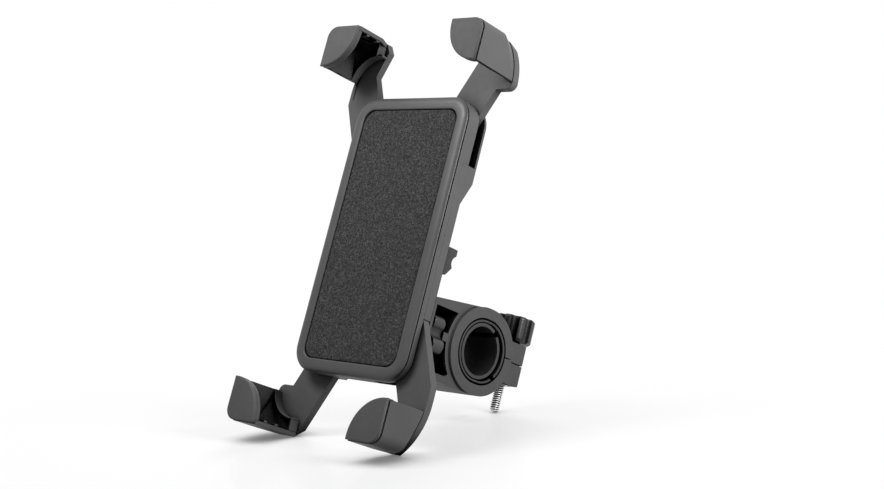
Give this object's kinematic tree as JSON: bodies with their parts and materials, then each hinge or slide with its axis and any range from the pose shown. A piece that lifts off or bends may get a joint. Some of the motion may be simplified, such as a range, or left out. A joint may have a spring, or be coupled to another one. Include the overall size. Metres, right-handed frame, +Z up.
{
  "type": "phone mount",
  "caption": "Handlebar phone mount: four rack-driven corner claws on a padded holder, ball joint with lock nut, and a split clamp with a thumb knob.",
  "frame": {"origin": "centre of the handlebar clamp's bore", "axes": "+X along the handlebar bore to the rider's right, +Z up with the mount standing on its lower claws and screw end, +Y away from the rider; the holder leans back"},
  "size_m": [0.0932, 0.1465, 0.178],
  "materials": {
    "phone_pad": "fine-grained matte rubber sheet",
    "bezel": "satin moulded black plastic",
    "shell": "fine spark-eroded black plastic",
    "arm": "satin glass-filled black plastic",
    "claw": "satin glass-filled black plastic",
    "grip": "soft matte black rubber",
    "gear": "natural acetal",
    "clamp": "fine-textured glass-filled black plastic",
    "sleeve": "matte black rubber with moulding lines",
    "knob": "satin black plastic",
    "liner": "smooth grey nylon",
    "steel": "zinc-plated steel",
    "ball_steel": "turned steel"
  },
  "bodies": {
    "clamp": {"clamp_body": "clamp", "outer_sleeve": "sleeve", "inner_sleeve": "sleeve", "knob_washer": "steel", "captive_nut": "steel", "ball_stud": "ball_steel"},
    "lock_nut": {"lock_nut": "knob"},
    "knob": {"thumb_knob": "knob", "clamp_screw": "steel"},
    "pitch_ring": {"friction_ring": "grip"},
    "yaw_liner": {"socket_liner": "liner"},
    "holder": {"phone_pad": "phone_pad", "front_bezel": "bezel", "front_shell": "shell", "rear_housing": "shell", "housing_screws": "steel", "ball_retainer": "liner", "pinion_axle": "steel", "return_spring": "steel"},
    "pinion": {"drive_pinion": "gear"},
    "slide_lock": {"lock_slider": "knob"},
    "arm_top_left": {"arm_top_left": "arm", "claw_top_left": "claw", "claw_grip_top_left": "grip"},
    "arm_top_right": {"arm_top_right": "arm", "claw_top_right": "claw", "claw_grip_top_right": "grip"},
    "arm_bottom_left": {"arm_bottom_left": "arm", "claw_bottom_left": "claw", "claw_grip_bottom_left": "grip"},
    "arm_bottom_right": {"arm_bottom_right": "arm", "claw_bottom_right": "claw", "claw_grip_bottom_right": "grip"}
  },
  "joints": [
    {"name": "head_pitch", "type": "hinge", "parent": "clamp", "child": "pitch_ring", "pos_m": [0, -0.04475, 0.01546], "axis": [1, 0, 0], "range_deg": [-12, 12]},
    {"name": "head_yaw", "type": "hinge", "parent": "pitch_ring", "child": "yaw_liner", "pos_m": [0, -0.04475, 0.01546], "axis": [0, 0.3681, 0.9298], "range_deg": [-12, 12]},
    {"name": "head_spin", "type": "hinge", "parent": "yaw_liner", "child": "holder", "pos_m": [0, -0.04475, 0.01546], "axis": [0, 0.9298, -0.3681], "continuous": true},
    {"name": "pinion_turn", "type": "hinge", "parent": "holder", "child": "pinion", "pos_m": [0, -0.04237, 0.05216], "axis": [0, 0.9298, -0.3681], "range_deg": [-240.05, 150.05], "deforming": ["return_spring"]},
    {"name": "arm_top_left_slide", "type": "slide", "parent": "holder", "child": "arm_top_left", "axis": [-0.4431, 0.33, 0.8335], "range_m": [-0.02094, 0.01309], "stiffness_N_per_m": 200, "springref_m": -0.022},
    {"name": "arm_top_right_slide", "type": "slide", "parent": "holder", "child": "arm_top_right", "axis": [0.4431, 0.33, 0.8335], "range_m": [-0.02095, 0.01309]},
    {"name": "arm_bottom_left_slide", "type": "slide", "parent": "holder", "child": "arm_bottom_left", "axis": [-0.4431, -0.33, -0.8335], "range_m": [-0.02095, 0.01309]},
    {"name": "arm_bottom_right_slide", "type": "slide", "parent": "holder", "child": "arm_bottom_right", "axis": [0.4431, -0.33, -0.8335], "range_m": [-0.02095, 0.01309]},
    {"name": "lock_slide", "type": "slide", "parent": "holder", "child": "slide_lock", "axis": [0, -0.3681, -0.9298], "range_m": [0, 0.004]},
    {"name": "lock_nut_turn", "type": "hinge", "parent": "clamp", "child": "lock_nut", "pos_m": [0, -0.02755, 0.00865], "axis": [0, 0.9298, -0.3681], "continuous": true},
    {"name": "knob_turn", "type": "hinge", "parent": "clamp", "child": "knob", "pos_m": [0, 0.03616, 0.00494], "axis": [0, 0.3681, 0.9298], "continuous": true}
  ],
  "couplings": [
    {"joint": "pinion_turn", "follows": "arm_top_left_slide", "rad_per_m": 200},
    {"joint": "arm_top_right_slide", "follows": "arm_top_left_slide", "ratio": 1},
    {"joint": "arm_bottom_left_slide", "follows": "arm_top_left_slide", "ratio": 1},
    {"joint": "arm_bottom_right_slide", "follows": "arm_top_left_slide", "ratio": 1}
  ]
}
